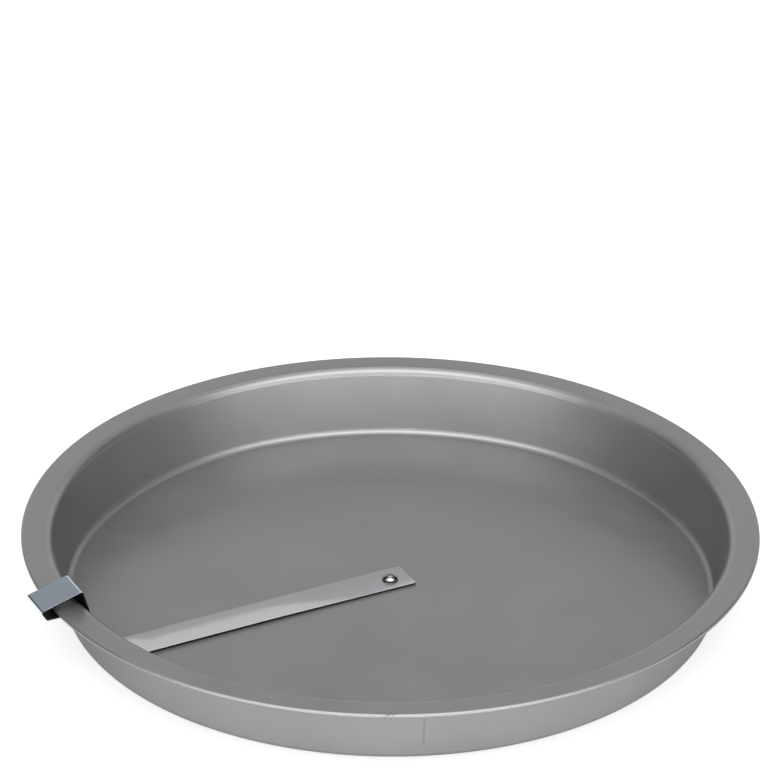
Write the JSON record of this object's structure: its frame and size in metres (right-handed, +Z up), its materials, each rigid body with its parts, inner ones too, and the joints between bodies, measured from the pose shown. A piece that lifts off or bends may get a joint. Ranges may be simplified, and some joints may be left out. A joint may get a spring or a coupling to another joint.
{
  "type": "butter cake pan",
  "caption": "Shallow round baking pan with a flat rim, and a thin metal cutter strip that swings round a rivet in the floor and hooks over the rim to loosen the cake.",
  "frame": {"origin": "on the pan's axis, on the surface that the pan stands on", "axes": "+Z up, out of the pan's mouth; -Y towards the viewer of the picture and +X to the viewer's right"},
  "size_m": [0.24, 0.24, 0.0289],
  "materials": {
    "pan_coat": "silver-grey non-stick coat, satin",
    "cutter_steel": "bright plated sheet steel, slightly blue",
    "rivet_steel": "polished"
  },
  "bodies": {
    "pan": {"pan_shell": "pan_coat", "pivot_rivet": "rivet_steel"},
    "cutter": {"cutter_strip": "cutter_steel"}
  },
  "joints": [
    {"name": "cutter_swivel", "type": "hinge", "parent": "pan", "child": "cutter", "pos_m": [0, 0, 0.0016], "axis": [0, 0, 1], "continuous": true}
  ]
}
